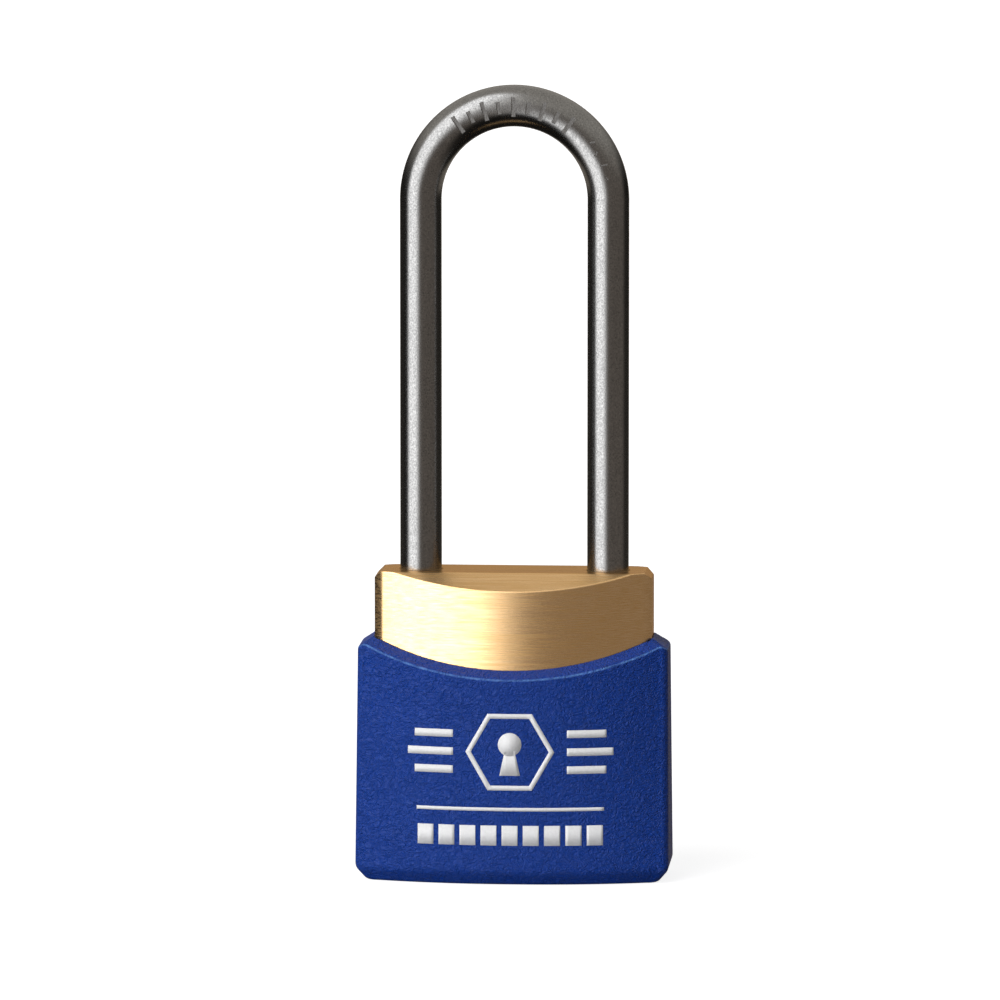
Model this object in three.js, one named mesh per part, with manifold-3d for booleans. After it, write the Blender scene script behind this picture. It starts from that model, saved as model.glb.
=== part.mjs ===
// Brass padlock with a moulded plastic jacket and a long steel shackle.
// Millimetres, +Z up. The origin is the middle of the jacket's bottom face. The front faces -Y and the
// toe leg of the shackle, the leg that comes free, is on +X. The lock is shut but unlocked: the key has
// turned the plug to open and drawn the bolt back, and the shackle hasn't been lifted yet.

import * as THREE from "three";
import { ConvexGeometry } from "three/addons/geometries/ConvexGeometry.js";
import { mergeVertices } from "three/addons/utils/BufferGeometryUtils.js";
import Module from "manifold-3d";

const wasm = await Module();
wasm.setup();

// Clearances.
const clearance = 0.3; // between pieces that slide, turn or are pressed together
const jacketClearance = 0.2; // between the brass body and the jacket's walls
const stopGap = 0.2; // left between the shackle's foot and its pin at full lift
const overrun = 1; // how far a cutting solid runs past the face that it opens

// Brass body.
const bodyWidth = 40;
const bodyHeight = 42.4;
const bodyThickness = 17; // at the middle of the bowed faces
const bodySideThickness = 7.5; // where the bowed faces meet the corner chamfers
const bodyCorner = 0.93; // chamfer of the four upright edges
const crownSlope = THREE.MathUtils.degToRad(30); // of the two facets that fall from the flat top
const topSideChamfer = 0.9;
const topStripMargin = 1.33; // flat brass left in front of and behind the leg bores

// Shackle.
const shackleDiameter = 6;
const shackleClearHeight = 64; // from the top of the body to the inside of the bend
const shoulderWidth = 6.5; // from the side of the body to the middle of a leg
const toeDepth = 12; // how far the toe leg reaches into the body
const toeTaper = 1;
const notchDepth = 1.9;
const liftMargin = 1; // how far the toe stands clear of the body at full lift
const neckStep = 1; // how much thinner the heel's neck is than the leg, all round
const footHeight = 2;
const boreEndGap = 0.8; // below the toe leg

// Locking bolt and the cam that moves it.
const boltDiameter = 5;
const boltDepth = 6; // of its middle below the top of the body
const boltTravel = 1.7;
const boltTailWall = 1.25; // behind the slot for the lug
const boltBevel = 1.5;
const lugRadius = 1;
const pocketWall = 0.8; // between the bolt spring's pocket and the heel bore

// Plug and pin stacks.
const plugDiameter = 12;
const grooveDepth = 1.1;
const grooveSetback = 3.4; // from the last key pin to the retaining groove
const plugEnd = 2.4; // of the plug beyond the groove
const keywayWidth = 2.2;
const keywayHeight = 8;
const wardDepth = 0.7;
const keyTipGap = 2; // of keyway beyond the last key pin
const tenonWidth = 1.4;
const tenonLength = 3;
const tenonDepth = 1.6;
const pinCount = 5;
const pinRadius = 1.35;
const pinClearance = 0.2;
const pinWall = 0.5; // of brass between two pin chambers
const firstPinSetback = 4.5; // from the face of the plug to the first pin
const pinTip = 0.8;
const keyPinLengths = [3.2, 4.1, 3.5, 4.4, 3.0];
const driverPinLength = 4;
const capLength = 2;
const capSetback = 0.6; // of the caps below the side of the body

// Cross pins and springs.
const crossPinRadius = 1;
const crossPinSetback = 0.4; // of their ends below the bowed faces
const shacklePinDepth = 14; // of the shackle's cross pin below the top of the body
const heelBoreFloor = 2.5; // of brass under the shackle spring
const shackleSpringWire = 0.7;
const boltSpringWire = 0.6;
const pinSpringWire = 0.4;
const springPitchRatio = 2.5; // pitch of a squeezed spring over its wire

// Jacket.
const jacketSideWall = 2.15;
const jacketFaceWall = 1.5;
const jacketFloor = 2;
const jacketCorner = 1.2; // rounding of its four upright edges
const jacketSideDraft = 0.3; // how much further out the sides stand at the bottom than at the rim
const jacketFaceDraft = 0.25;
const jacketBaseFaceRadius = 65; // the faces are flatter at the bottom than at the rim
const baseChamferWidth = 1.6;
const baseChamferHeight = 1.95;
const rimDrop = 9.8; // from the top of the body to the rim, at the corners of the faces
const rimFaceSlope = 0.775; // fall of the rim's front and back over its run outwards
const rimSideDrop = 9.36;
const rimSideSlope = 0.674;
const keyOpeningMargin = 1; // of the round opening around the plug

// Facets of round shapes.
const shackleSides = 24;
const bendSteps = 22;
const boreSides = 32;
const smallSides = 16;
const faceSteps = 14;
const wireSides = 5;
const coilSteps = 8;

// Derived sizes.
const bodyBottom = jacketFloor + clearance;
const bodyTop = bodyBottom + bodyHeight;
const bodyFaceRadius = radiusOfBow(bodyWidth / 2 - bodyCorner, (bodyThickness - bodySideThickness) / 2);
const legRadius = shackleDiameter / 2;
const legX = bodyWidth / 2 - shoulderWidth;
const legBoreRadius = legRadius + clearance;
const bendZ = bodyTop + shackleClearHeight - (legX - legRadius);
const neckRadius = legRadius - neckStep;
const shacklePinZ = bodyTop - shacklePinDepth;
const shacklePinX = -legX + neckRadius + clearance + crossPinRadius;
const liftTravel = toeDepth + liftMargin;
const footTop = shacklePinZ - crossPinRadius - stopGap - liftTravel;
const footBottom = footTop - footHeight;
const boltRadius = boltDiameter / 2;
const boltZ = bodyTop - boltDepth;
const boltNoseX = legX - legRadius - clearance;
const boltTailX = -(boltTravel / 2 + lugRadius + clearance + boltTailWall);
const boltPocketX = -(legX - legBoreRadius - pocketWall);
const lugOffset = boltTravel / Math.SQRT2;
const camRadius = lugOffset + lugRadius;
const plugRadius = plugDiameter / 2;
const plugBoreRadius = plugRadius + clearance;
const plugBottom = bodyBottom;
const chamberRadius = pinRadius + pinClearance;
const pinPitch = 2 * chamberRadius + pinWall;
const firstPinZ = plugBottom + firstPinSetback;
const lastPinZ = firstPinZ + (pinCount - 1) * pinPitch;
const grooveZ = lastPinZ + grooveSetback;
const plugTop = grooveZ + plugEnd;
const plugPinX = -(plugRadius - grooveDepth + clearance + crossPinRadius);
const camTop = boltZ - boltRadius - clearance;

// The radius of an arc that rises by `rise` over a half chord.
function radiusOfBow(halfChord, rise) {
  return (halfChord * halfChord + rise * rise) / (2 * rise);
}

// Half the thickness at x of a block with bowed faces.
function halfDepthAt(x, halfDepth, faceRadius) {
  return halfDepth - (faceRadius - Math.sqrt(faceRadius * faceRadius - x * x));
}

// ---- Solids ----

function solidOf(geometry) {
  const bare = geometry.clone();
  bare.deleteAttribute("normal");
  bare.deleteAttribute("uv");
  const merged = mergeVertices(bare, 1e-5);
  return new wasm.Manifold(
    new wasm.Mesh({
      numProp: 3,
      vertProperties: new Float32Array(merged.attributes.position.array),
      triVerts: new Uint32Array(merged.index.array),
    }),
  );
}

function geometryOf(solid) {
  const mesh = solid.getMesh();
  const geometry = new THREE.BufferGeometry();
  geometry.setAttribute("position", new THREE.BufferAttribute(mesh.vertProperties, 3));
  geometry.setIndex(new THREE.BufferAttribute(mesh.triVerts, 1));
  return geometry;
}

const join = (first, ...rest) => rest.reduce((solid, other) => solid.add(other), first);
const cut = (first, ...rest) => rest.reduce((solid, other) => solid.subtract(other), first);
const common = (first, ...rest) => rest.reduce((solid, other) => solid.intersect(other), first);

// Turns a geometry that stands along +Y from the origin to stand at `from`, along `direction`.
function stand(geometry, from, direction) {
  const up = new THREE.Vector3(0, 1, 0);
  const turn = new THREE.Quaternion().setFromUnitVectors(up, new THREE.Vector3(...direction).normalize());
  return geometry.applyQuaternion(turn).translate(...from);
}

// A round bar between two points.
function bar(radius, from, to, sides = boreSides) {
  const run = new THREE.Vector3(...to).sub(new THREE.Vector3(...from));
  const geometry = new THREE.CylinderGeometry(radius, radius, run.length(), sides);
  geometry.translate(0, run.length() / 2, 0);
  return solidOf(stand(geometry, from, run.toArray()));
}

// A piece turned on a lathe: `profile` holds [radius, height] pairs that start and end on the axis.
function turned(profile, from, direction, sides) {
  const points = profile.map(([radius, height]) => new THREE.Vector2(radius, height));
  return solidOf(stand(new THREE.LatheGeometry(points, sides), from, direction));
}

// A ring about the Z axis with a rectangular section.
function ring(innerRadius, outerRadius, low, high, sides) {
  const profile = [
    [innerRadius, low],
    [outerRadius, low],
    [outerRadius, high],
    [innerRadius, high],
    [innerRadius, low],
  ];
  return turned(profile, [0, 0, 0], [0, 0, 1], sides);
}

function block(low, high) {
  const size = high.map((value, axis) => value - low[axis]);
  const geometry = new THREE.BoxGeometry(...size);
  return solidOf(geometry.translate(...low.map((value, axis) => value + size[axis] / 2)));
}

// A prism whose outline lies in the plane of two axes: "xy" runs up Z, "yz" along X, "xz" along Y.
const prismAxes = {
  xy: [new THREE.Vector3(1, 0, 0), new THREE.Vector3(0, 1, 0), new THREE.Vector3(0, 0, 1)],
  yz: [new THREE.Vector3(0, 1, 0), new THREE.Vector3(0, 0, 1), new THREE.Vector3(1, 0, 0)],
  xz: [new THREE.Vector3(1, 0, 0), new THREE.Vector3(0, 0, 1), new THREE.Vector3(0, -1, 0)],
};

function prism(plane, outline, low, high) {
  const shape = new THREE.Shape(outline.map(([u, v]) => new THREE.Vector2(u, v)));
  const geometry = new THREE.ExtrudeGeometry(shape, { depth: high - low, bevelEnabled: false });
  geometry.translate(0, 0, low);
  return solidOf(geometry.applyMatrix4(new THREE.Matrix4().makeBasis(...prismAxes[plane])));
}

// The outline of a block with two bowed faces, counter-clockwise from the front face's left end. Its
// corners are one flat chamfer, or a rounding of several steps.
function bowedOutline(halfWidth, halfDepth, faceRadius, corner, cornerSteps) {
  const faceEnd = halfWidth - corner;
  const reach = Math.asin(faceEnd / faceRadius);
  const cornerY = halfDepthAt(faceEnd, halfDepth, faceRadius) - corner;
  const face = [];
  for (let step = 0; step <= faceSteps; step += 1) {
    const angle = -reach + (2 * reach * step) / faceSteps;
    face.push([faceRadius * Math.sin(angle), faceRadius - halfDepth - faceRadius * Math.cos(angle)]);
  }
  const turn = [];
  for (let step = 1; step <= cornerSteps; step += 1) {
    const angle = (Math.PI / 2) * (step / cornerSteps);
    turn.push([faceEnd + corner * Math.sin(angle), -cornerY - corner * Math.cos(angle)]);
  }
  const front = [...turn.map(([x, y]) => [-x, y]).reverse(), ...face, ...turn];
  return [...front, ...front.map(([x, y]) => [-x, -y])];
}

// ---- Springs ----

class Helix extends THREE.Curve {
  constructor(radius, length, turns) {
    super();
    this.radius = radius;
    this.length = length;
    this.turns = turns;
  }

  getPoint(t) {
    const angle = 2 * Math.PI * this.turns * t;
    return new THREE.Vector3(
      this.radius * Math.cos(angle),
      this.length * t,
      this.radius * Math.sin(angle),
    );
  }
}

// A coil spring between two points. `outerRadius` is that of the coil over its wire.
function spring(outerRadius, wire, from, to) {
  const run = new THREE.Vector3(...to).sub(new THREE.Vector3(...from));
  const coilLength = run.length() - wire;
  const turns = coilLength / (wire * springPitchRatio);
  const path = new Helix(outerRadius - wire / 2, coilLength, turns);
  const section = [];
  for (let side = 0; side < wireSides; side += 1) {
    const angle = (2 * Math.PI * side) / wireSides;
    section.push(new THREE.Vector2(Math.cos(angle), Math.sin(angle)).multiplyScalar(wire / 2));
  }
  const geometry = new THREE.ExtrudeGeometry(new THREE.Shape(section), {
    steps: Math.ceil(turns * coilSteps),
    bevelEnabled: false,
    extrudePath: path,
  });
  geometry.translate(0, wire / 2, 0);
  return solidOf(stand(geometry, from, run.toArray()));
}

// ---- Body and jacket ----

function bodyBlock() {
  const outline = bowedOutline(bodyWidth / 2, bodyThickness / 2, bodyFaceRadius, bodyCorner, 1);
  const stripHalf = legBoreRadius + topStripMargin;
  const deep = bodyThickness / 2 + overrun;
  const crownDrop = (deep - stripHalf) * Math.tan(crownSlope);
  const crown = [
    [-deep, bodyBottom - overrun],
    [deep, bodyBottom - overrun],
    [deep, bodyTop - crownDrop],
    [stripHalf, bodyTop],
    [-stripHalf, bodyTop],
    [-deep, bodyTop - crownDrop],
  ];
  const wide = bodyWidth / 2 + overrun;
  const sideDrop = topSideChamfer + overrun;
  const ends = [
    [-wide, bodyBottom - overrun],
    [wide, bodyBottom - overrun],
    [wide, bodyTop - sideDrop],
    [wide - sideDrop, bodyTop],
    [sideDrop - wide, bodyTop],
    [-wide, bodyTop - sideDrop],
  ];
  return common(
    prism("xy", outline, bodyBottom, bodyTop),
    prism("yz", crown, -wide, wide),
    prism("xz", ends, -deep, deep),
  );
}

// A hole through the body from front to back, for a cross pin.
function crossHole(x, z) {
  const deep = bodyThickness / 2 + overrun;
  return bar(crossPinRadius + clearance, [x, -deep, z], [x, deep, z], smallSides);
}

function body() {
  const above = bodyTop + overrun;
  const toeBore = bar(legBoreRadius, [legX, 0, bodyTop - toeDepth - boreEndGap], [legX, 0, above]);
  const heelBore = bar(legBoreRadius, [-legX, 0, bodyBottom + heelBoreFloor], [-legX, 0, above]);
  const plugBore = bar(plugBoreRadius, [0, 0, bodyBottom - overrun], [0, 0, plugTop + clearance]);
  const camBore = bar(camRadius + clearance, [0, 0, plugTop], [0, 0, boltZ], smallSides);
  const boltBore = bar(boltRadius + clearance, [boltPocketX, 0, boltZ], [legX, 0, boltZ]);
  const chambers = pinHeights().map((z) =>
    bar(chamberRadius, [0, 0, z], [bodyWidth / 2 + overrun, 0, z], smallSides),
  );
  return cut(
    bodyBlock(),
    toeBore,
    heelBore,
    plugBore,
    camBore,
    boltBore,
    crossHole(shacklePinX, shacklePinZ),
    crossHole(plugPinX, grooveZ),
    ...chambers,
  );
}

function jacket() {
  const rimHalfWidth = bodyWidth / 2 + jacketClearance + jacketSideWall;
  const rimHalfDepth = bodyThickness / 2 + jacketClearance + jacketFaceWall;
  const rimFaceRadius = bodyFaceRadius + jacketClearance + jacketFaceWall;
  const peakZ = bodyTop - rimDrop + rimFaceSlope * (bodySideThickness / 2);
  const baseHalfWidth = rimHalfWidth + jacketSideDraft;
  const baseHalfDepth = rimHalfDepth + jacketFaceDraft;
  const levels = [
    [0, baseHalfWidth - baseChamferWidth, baseHalfDepth - baseChamferWidth, jacketBaseFaceRadius],
    [baseChamferHeight, baseHalfWidth, baseHalfDepth, jacketBaseFaceRadius],
    [peakZ, rimHalfWidth, rimHalfDepth, rimFaceRadius],
  ];
  const points = levels.flatMap(([z, halfWidth, halfDepth, faceRadius]) =>
    bowedOutline(halfWidth, halfDepth, faceRadius, jacketCorner, 3).map(
      ([x, y]) => new THREE.Vector3(x, y, z),
    ),
  );
  const deep = baseHalfDepth + overrun;
  const wide = baseHalfWidth + overrun;
  const rimFaces = [
    [-deep, -overrun],
    [deep, -overrun],
    [deep, peakZ - rimFaceSlope * deep],
    [0, peakZ],
    [-deep, peakZ - rimFaceSlope * deep],
  ];
  const sidePeakZ = bodyTop - rimSideDrop + rimSideSlope * (bodyWidth / 2);
  const rimSides = [
    [-wide, -overrun],
    [wide, -overrun],
    [wide, sidePeakZ - rimSideSlope * wide],
    [0, sidePeakZ],
    [-wide, sidePeakZ - rimSideSlope * wide],
  ];
  const cavity = bowedOutline(
    bodyWidth / 2 + jacketClearance,
    bodyThickness / 2 + jacketClearance,
    bodyFaceRadius + jacketClearance,
    bodyCorner,
    1,
  );
  const shell = common(
    solidOf(new ConvexGeometry(points)),
    prism("yz", rimFaces, -wide, wide),
    prism("xz", rimSides, -deep, deep),
  );
  return cut(
    shell,
    prism("xy", cavity, jacketFloor, bodyTop + overrun),
    bar(plugRadius + keyOpeningMargin, [0, 0, -overrun], [0, 0, jacketFloor + overrun]),
  );
}

// ---- Shackle ----

// The shackle's middle line, from the heel's foot over the bend to the toe. It has one step for each
// straight leg and `bendSteps` for the bend.
class ShackleLine extends THREE.Curve {
  bendAngle(t) {
    const step = t * (bendSteps + 2) - 1;
    return Math.PI * (1 - THREE.MathUtils.clamp(step / bendSteps, 0, 1));
  }

  getPoint(t) {
    const angle = this.bendAngle(t);
    const heelLeft = Math.max(0, 1 - t * (bendSteps + 2));
    const toeRun = Math.max(0, t * (bendSteps + 2) - bendSteps - 1);
    const drop = heelLeft * (bendZ - footBottom) + toeRun * (bendZ - (bodyTop - toeDepth));
    return new THREE.Vector3(legX * Math.cos(angle), 0, bendZ + legX * Math.sin(angle) - drop);
  }

  getPointAt(t) {
    return this.getPoint(t);
  }

  getTangentAt(t) {
    const angle = this.bendAngle(t);
    return new THREE.Vector3(Math.sin(angle), 0, -Math.cos(angle));
  }
}

function shackle() {
  const toeBottom = bodyTop - toeDepth;
  const section = [];
  for (let side = 0; side < shackleSides; side += 1) {
    const angle = (2 * Math.PI * side) / shackleSides;
    section.push(new THREE.Vector2(Math.cos(angle), Math.sin(angle)).multiplyScalar(legRadius));
  }
  const rod = new THREE.ExtrudeGeometry(new THREE.Shape(section), {
    steps: bendSteps + 2,
    bevelEnabled: false,
    extrudePath: new ShackleLine(),
  });
  const notchHalf = boltRadius + clearance;
  const notch = block(
    [legX - legRadius - overrun, -legRadius - overrun, boltZ - notchHalf],
    [legX - legRadius + notchDepth, legRadius + overrun, boltZ + notchHalf],
  );
  const taper = [
    [legRadius - toeTaper - overrun, -overrun],
    [legRadius + overrun, -overrun],
    [legRadius + overrun, toeTaper + overrun],
    [legRadius - toeTaper - overrun, -overrun],
  ];
  const neckTop = shacklePinZ + crossPinRadius + clearance;
  const outside = legRadius + overrun;
  return cut(
    solidOf(rod),
    notch,
    turned(taper, [legX, 0, toeBottom], [0, 0, 1], shackleSides),
    ring(neckRadius, outside, footTop, neckTop, shackleSides).translate(-legX, 0, 0),
  );
}

// ---- Plug, cam and bolt ----

function pinHeights() {
  return Array.from({ length: pinCount }, (_, index) => firstPinZ + index * pinPitch);
}

// A slot with one ward from each side. The key pins come into it from -Y.
function keywayOutline() {
  const half = keywayWidth / 2;
  const low = -keywayHeight / 2 + wardDepth;
  const high = low + keywayHeight;
  const middle = (low + high) / 2;
  return [
    [-half, low],
    [half - wardDepth, low],
    [half - wardDepth, middle - 2 * wardDepth],
    [half, middle - wardDepth],
    [half, high],
    [wardDepth - half, high],
    [wardDepth - half, middle + 2 * wardDepth],
    [-half, middle + wardDepth],
  ];
}

function cylinderPlug() {
  const chamberEnd = Math.max(...keyPinLengths) + clearance - plugRadius;
  const chambers = pinHeights().map((z) =>
    bar(chamberRadius, [0, -plugRadius - overrun, z], [0, chamberEnd, z], smallSides),
  );
  const tenonSlot = block(
    [-tenonLength / 2 - clearance, -tenonWidth / 2 - clearance, plugTop - tenonDepth - clearance],
    [tenonLength / 2 + clearance, tenonWidth / 2 + clearance, plugTop + overrun],
  );
  const groove = ring(
    plugRadius - grooveDepth,
    plugRadius + overrun,
    grooveZ - crossPinRadius - clearance,
    grooveZ + crossPinRadius + clearance,
    boreSides,
  );
  return cut(
    bar(plugRadius, [0, 0, plugBottom], [0, 0, plugTop]),
    prism("xy", keywayOutline(), plugBottom - overrun, lastPinZ + keyTipGap),
    tenonSlot,
    groove,
    ...chambers,
  );
}

// The cam's round stem turns with the plug, and the lug on its end moves the bolt. At rest the lug
// points to -X and -Y, and a quarter turn of the plug carries it to +X and -Y.
function plugCam() {
  const lugPlace = -boltTravel / 2;
  const tenon = block(
    [-tenonLength / 2, -tenonWidth / 2, plugTop - tenonDepth],
    [tenonLength / 2, tenonWidth / 2, plugTop + overrun],
  );
  return join(
    bar(camRadius, [0, 0, plugTop + clearance], [0, 0, camTop], smallSides),
    tenon,
    bar(lugRadius, [lugPlace, lugPlace, camTop - overrun], [lugPlace, lugPlace, boltZ], smallSides),
  );
}

function lockingBolt() {
  const slotHalf = lugRadius + clearance;
  const lugX = -boltTravel / 2;
  const slot = block(
    [lugX - slotHalf, -boltRadius - overrun, boltZ - boltRadius - overrun],
    [lugX + slotHalf, boltRadius + overrun, boltZ + clearance],
  );
  const bevel = [
    [boltNoseX + overrun, boltZ + boltRadius - boltBevel - overrun],
    [boltNoseX + overrun, boltZ + boltRadius + overrun],
    [boltNoseX - boltBevel - overrun, boltZ + boltRadius + overrun],
  ];
  return cut(
    bar(boltRadius, [boltTailX, 0, boltZ], [boltNoseX, 0, boltZ]),
    slot,
    prism("xz", bevel, -boltRadius - overrun, boltRadius + overrun),
  );
}

// A pin pressed into the body from front to back, hidden by the jacket.
function crossPin(x, z) {
  const end = halfDepthAt(x, bodyThickness / 2, bodyFaceRadius) - crossPinSetback;
  return bar(crossPinRadius, [x, -end, z], [x, end, z], smallSides);
}

// A key pin stands in its chamber in the plug with its flat end at the shear line.
function keyPin(length, z) {
  const profile = [
    [0, 0],
    [pinRadius, 0],
    [pinRadius, length - pinTip],
    [pinRadius - pinTip, length],
    [0, length],
  ];
  return turned(profile, [0, -plugRadius, z], [0, 1, 0], smallSides);
}

// ---- Finishes ----

const finishes = {
  brass: { color: 0xc7a86a, roughness: 0.28, metalness: 1 },
  jacket: { color: 0x2a4f9a, roughness: 0.42, metalness: 0 },
  shackleSteel: { color: 0x8d8884, roughness: 0.3, metalness: 1 },
  plugBrass: { color: 0xbd9a55, roughness: 0.35, metalness: 1 },
  pinBrass: { color: 0xb08d4a, roughness: 0.4, metalness: 1 },
  boltSteel: { color: 0x9a9a98, roughness: 0.35, metalness: 1 },
  springSteel: { color: 0xa8a8a6, roughness: 0.3, metalness: 1 },
};

const padlock = new THREE.Group();

function add(name, solid, finish) {
  const mesh = new THREE.Mesh(geometryOf(solid), new THREE.MeshStandardMaterial(finishes[finish]));
  mesh.name = name;
  padlock.add(mesh);
}

// ---- The lock ----

add("body", body(), "brass");
add("jacket", jacket(), "jacket");
add("shackle", shackle(), "shackleSteel");
add("cylinder_plug", cylinderPlug(), "plugBrass");
add("plug_cam", plugCam(), "boltSteel");
add("locking_bolt", lockingBolt(), "boltSteel");
add("shackle_retaining_pin", crossPin(shacklePinX, shacklePinZ), "boltSteel");
add("plug_retaining_pin", crossPin(plugPinX, grooveZ), "boltSteel");

const springTop = footBottom - clearance;
const springBottom = bodyBottom + heelBoreFloor + clearance;
const heelSpring = spring(legRadius, shackleSpringWire, [-legX, 0, springBottom], [-legX, 0, springTop]);
add("shackle_spring", heelSpring, "springSteel");

const boltSpringStart = [boltPocketX + clearance, 0, boltZ];
const boltSpringEnd = [boltTailX - clearance, 0, boltZ];
add("bolt_spring", spring(boltRadius, boltSpringWire, boltSpringStart, boltSpringEnd), "springSteel");

const driverEnd = plugBoreRadius + driverPinLength;
const capEnd = bodyWidth / 2 - capSetback;
const capStart = capEnd - capLength;
pinHeights().forEach((z, index) => {
  const number = index + 1;
  const driverPin = bar(pinRadius, [plugBoreRadius, 0, z], [driverEnd, 0, z], smallSides);
  const springStart = [driverEnd + clearance, 0, z];
  const springEnd = [capStart - clearance, 0, z];
  add(`key_pin_${number}`, keyPin(keyPinLengths[index], z), "pinBrass");
  add(`driver_pin_${number}`, driverPin, "boltSteel");
  add(`pin_spring_${number}`, spring(pinRadius, pinSpringWire, springStart, springEnd), "springSteel");
  add(`pin_cap_${number}`, bar(pinRadius, [capStart, 0, z], [capEnd, 0, z], smallSides), "pinBrass");
});

export default padlock;
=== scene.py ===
"""Jacketed brass padlock with a long steel shackle: the looks around its fixed frame.

Metres, +Z up. The front faces -Y and the toe leg of the shackle is on +X.
"""

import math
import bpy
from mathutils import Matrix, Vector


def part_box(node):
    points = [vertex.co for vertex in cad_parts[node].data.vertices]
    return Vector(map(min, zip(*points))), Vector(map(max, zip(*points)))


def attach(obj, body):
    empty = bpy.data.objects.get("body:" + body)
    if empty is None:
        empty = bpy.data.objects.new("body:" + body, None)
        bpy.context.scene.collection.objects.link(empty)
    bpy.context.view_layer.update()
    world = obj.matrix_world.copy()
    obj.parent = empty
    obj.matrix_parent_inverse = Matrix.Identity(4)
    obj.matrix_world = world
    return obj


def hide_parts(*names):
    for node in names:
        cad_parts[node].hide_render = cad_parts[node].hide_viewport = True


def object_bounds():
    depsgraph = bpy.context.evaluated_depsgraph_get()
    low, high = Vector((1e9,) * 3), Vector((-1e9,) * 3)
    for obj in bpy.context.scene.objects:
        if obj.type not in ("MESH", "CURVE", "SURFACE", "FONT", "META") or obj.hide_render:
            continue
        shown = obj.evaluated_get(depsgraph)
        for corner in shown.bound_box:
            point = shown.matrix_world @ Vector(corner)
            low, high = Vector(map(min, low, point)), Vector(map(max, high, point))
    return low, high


bl_info = {
    "name": "Jacketed padlock",
    "version": (1, 0, 0),
    "blender": (4, 5, 0),
    "location": "View3D > Sidebar > Padlock",
    "description": "Brass body, moulded jacket, steel shackle and the works of a pin padlock",
    "category": "Object",
}

import bmesh
import bpy
from mathutils import Matrix, Vector

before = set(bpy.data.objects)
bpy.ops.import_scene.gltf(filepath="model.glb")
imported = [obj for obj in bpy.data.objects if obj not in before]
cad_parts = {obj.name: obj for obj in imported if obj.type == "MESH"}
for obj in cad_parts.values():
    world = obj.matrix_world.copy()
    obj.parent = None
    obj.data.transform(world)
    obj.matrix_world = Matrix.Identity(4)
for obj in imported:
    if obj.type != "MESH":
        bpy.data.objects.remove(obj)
CAD_BOX = [list(corner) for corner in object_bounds()]

MM = 0.001
BODY_LOW, BODY_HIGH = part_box("body")
SHACKLE_LOW, SHACKLE_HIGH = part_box("shackle")
PLUG_LOW, PLUG_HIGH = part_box("cylinder_plug")
CAM_LOW, CAM_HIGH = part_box("plug_cam")
BOLT_LOW, BOLT_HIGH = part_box("locking_bolt")
BOLT_SPRING_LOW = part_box("bolt_spring")[0]
SHACKLE_SPRING_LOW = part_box("shackle_spring")[0]

BRASS_NODES = ("cylinder_plug",)
STEEL_NODES = ("plug_cam", "locking_bolt", "shackle_retaining_pin", "plug_retaining_pin")
SPRING_NODES = ("shackle_spring", "bolt_spring")
CROSS_PINS = ("shackle_retaining_pin", "plug_retaining_pin")
PIN_STACKS = 5
PIN_GAP = 0.15 * MM
WELD = 0.002 * MM
SHARP = math.radians(30)

# Sizes of the front print, across and upwards on the jacket's face.
SIGN_HEIGHT = 19.5 * MM
HEXAGON = 6.4 * MM
HEXAGON_LINE = 0.8 * MM
KEYHOLE = 1.7 * MM
KEYHOLE_RISE = 1.1 * MM
KEYHOLE_SKIRT = ((-1.5, -3.4), (1.5, -3.4), (0.7, 0.2), (-0.7, 0.2))
STRIPE_START = 8.2 * MM
STRIPE_PITCH = 2.6 * MM
STRIPE_HEIGHT = 1.1 * MM
STRIPE_WIDTHS = {1: 5.6 * MM, 0: 6.6 * MM, -1: 5.6 * MM}
BLOCKS = 9
BLOCK_PITCH = 3.05 * MM
BLOCK_SIZE = (2.3 * MM, 2.9 * MM)
BLOCK_HEIGHT = 7.4 * MM
BAR_SIZE = (27 * MM, 0.5 * MM)
BAR_HEIGHT = 11.2 * MM
INK_LIFT = 0.012 * MM
INK_THICKNESS = 0.03 * MM
SLICE = 0.5 * MM
SLICES_A_SIDE = 30

# Where the parts of the room fade in, as parts of a direction from -1 to 1.
BEAM_TOP = (0.99, 0.9)
BEAM_FOOT = (-0.75, -0.5)
SIDE_DEPTH = (-0.35, 0.05)
SIDE_FOOT = (-0.8, -0.4)
SIDE_LEFT = (-0.97, -0.8)
BACK_DEPTH = (-0.9, -0.95)
BACK_FOOT = (-0.6, -0.4)
WALL_FOOT = (-0.55, -0.4)
WALL_TOP = (-0.12, -0.25)
WALL_DEPTH = (-0.1, -0.5)
CEILING_RISE = (0.04, 0.62)
FILL_RISE = (-0.1, 0.8)
DARK = (0.02, 0.018, 0.016, 1)
WHITE = (1, 1, 1, 1)


# ---- Settings ----


def length_setting(name, description, default):
    """A size in metres, shown in the scene's unit."""
    return bpy.props.FloatProperty(
        name=name, description=description, default=default, min=0.0, subtype="DISTANCE", precision=5
    )


def colour_setting(name, description, default):
    """A linear colour."""
    return bpy.props.FloatVectorProperty(
        name=name, description=description, default=default, size=4, min=0.0, max=1.0, subtype="COLOR"
    )


def share_setting(name, description, default):
    """A value from 0 to 1."""
    return bpy.props.FloatProperty(
        name=name, description=description, default=default, min=0.0, max=1.0, subtype="FACTOR"
    )


def number_setting(name, description, default):
    """A plain number."""
    return bpy.props.FloatProperty(name=name, description=description, default=default)


def angle_setting(name, description, degrees):
    """An angle, given in degrees."""
    return bpy.props.FloatProperty(
        name=name, description=description, default=math.radians(degrees), subtype="ANGLE"
    )


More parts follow.
